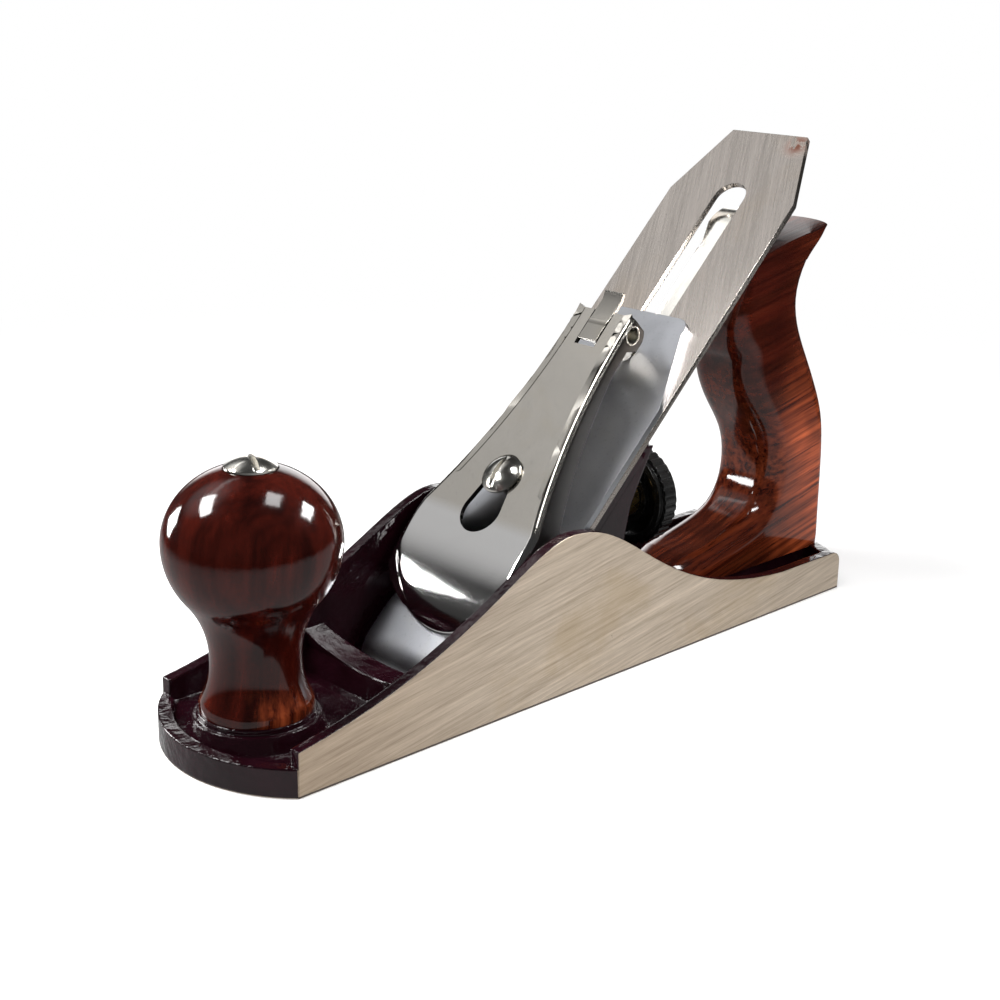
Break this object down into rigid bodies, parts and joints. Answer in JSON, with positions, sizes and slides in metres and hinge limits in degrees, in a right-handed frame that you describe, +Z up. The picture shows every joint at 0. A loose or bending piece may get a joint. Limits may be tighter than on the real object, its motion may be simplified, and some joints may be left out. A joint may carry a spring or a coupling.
{
  "type": "smoothing plane",
  "caption": "Metal hand plane for smoothing wood, with knob, handle, screw-fed cutting iron, lateral adjuster and lever cap with a cam.",
  "frame": {"origin": "centre of the bounding box, on the face of the sole", "axes": "+X to the toe, +Y to the left of a worker who pushes the plane forwards, +Z up from the sole"},
  "size_m": [0.2562, 0.062, 0.151],
  "materials": {
    "casting": "dark gloss enamel inside, sole and cheeks ground bare",
    "frog_casting": "dark plum enamel, bed ground bare",
    "steel": "plain",
    "dark_steel": "dull",
    "bright_steel": "plated",
    "blade_steel": "ground across",
    "cap_steel": "satin",
    "lever_cap_plate": "satin plate, polished nose and flanges",
    "brass": "turned",
    "wheel": "black",
    "hardwood": "gloss varnish on red-brown hardwood"
  },
  "bodies": {
    "plane": {"plane_body": "casting", "frog": "frog_casting", "frog_screws": "steel", "frog_washers": "steel", "yoke_pin": "steel", "depth_stud": "steel", "lateral_rivet": "steel", "lever_cap_screw": "bright_steel", "front_knob": "hardwood", "knob_stud": "steel", "knob_nut": "bright_steel", "tote": "hardwood", "tote_rod": "steel", "tote_nut": "bright_steel"},
    "adjuster_hub": {"depth_hub": "brass"},
    "adjuster_wheel": {"depth_wheel": "wheel"},
    "yoke_lever": {"yoke": "dark_steel"},
    "lateral_adjuster": {"lateral_lever": "bright_steel", "lateral_disc": "steel"},
    "lever_cap_set": {"lever_cap": "lever_cap_plate", "cam_pin": "steel"},
    "cam": {"cam_lever": "bright_steel"},
    "iron_set": {"cutting_iron": "blade_steel", "cap_iron": "cap_steel", "cap_iron_screw": "steel"}
  },
  "joints": [
    {"name": "hub_travel", "type": "slide", "parent": "plane", "child": "adjuster_hub", "axis": [1, 0, 0], "range_m": [-0.00125, 0.00255]},
    {"name": "wheel_spin", "type": "hinge", "parent": "adjuster_hub", "child": "adjuster_wheel", "pos_m": [-0.0425, 0, 0.041], "axis": [1, 0, 0], "range_deg": [-900, 432]},
    {"name": "yoke_pivot", "type": "hinge", "parent": "plane", "child": "yoke_lever", "pos_m": [-0.01826, 0, 0.05303], "axis": [0, 1, 0], "range_deg": [-12.1, 5.9]},
    {"name": "lateral_swing", "type": "hinge", "parent": "plane", "child": "lateral_adjuster", "pos_m": [-0.03209, 0, 0.07315], "axis": [0.7071, 0, 0.7071], "range_deg": [-7, 7]},
    {"name": "iron_tilt", "type": "hinge", "parent": "plane", "child": "lever_cap_set", "pos_m": [0.03336, 0, 0.01414], "axis": [0.7071, 0, 0.7071], "range_deg": [-1.02, 1.02]},
    {"name": "iron_feed", "type": "slide", "parent": "lever_cap_set", "child": "iron_set", "axis": [0.7071, 0, -0.7071], "range_m": [-0.00249, 0.00119]},
    {"name": "cam_turn", "type": "hinge", "parent": "lever_cap_set", "child": "cam", "pos_m": [-0.02562, 0, 0.09659], "axis": [0, -1, 0], "range_deg": [0, 70]}
  ],
  "couplings": [
    {"joint": "hub_travel", "follows": "iron_feed", "ratio": -1.0027},
    {"joint": "wheel_spin", "follows": "iron_feed", "rad_per_m": 6300.4},
    {"joint": "yoke_pivot", "follows": "iron_feed", "rad_per_m": 83.332},
    {"joint": "iron_tilt", "follows": "lateral_swing", "ratio": -0.14286}
  ]
}
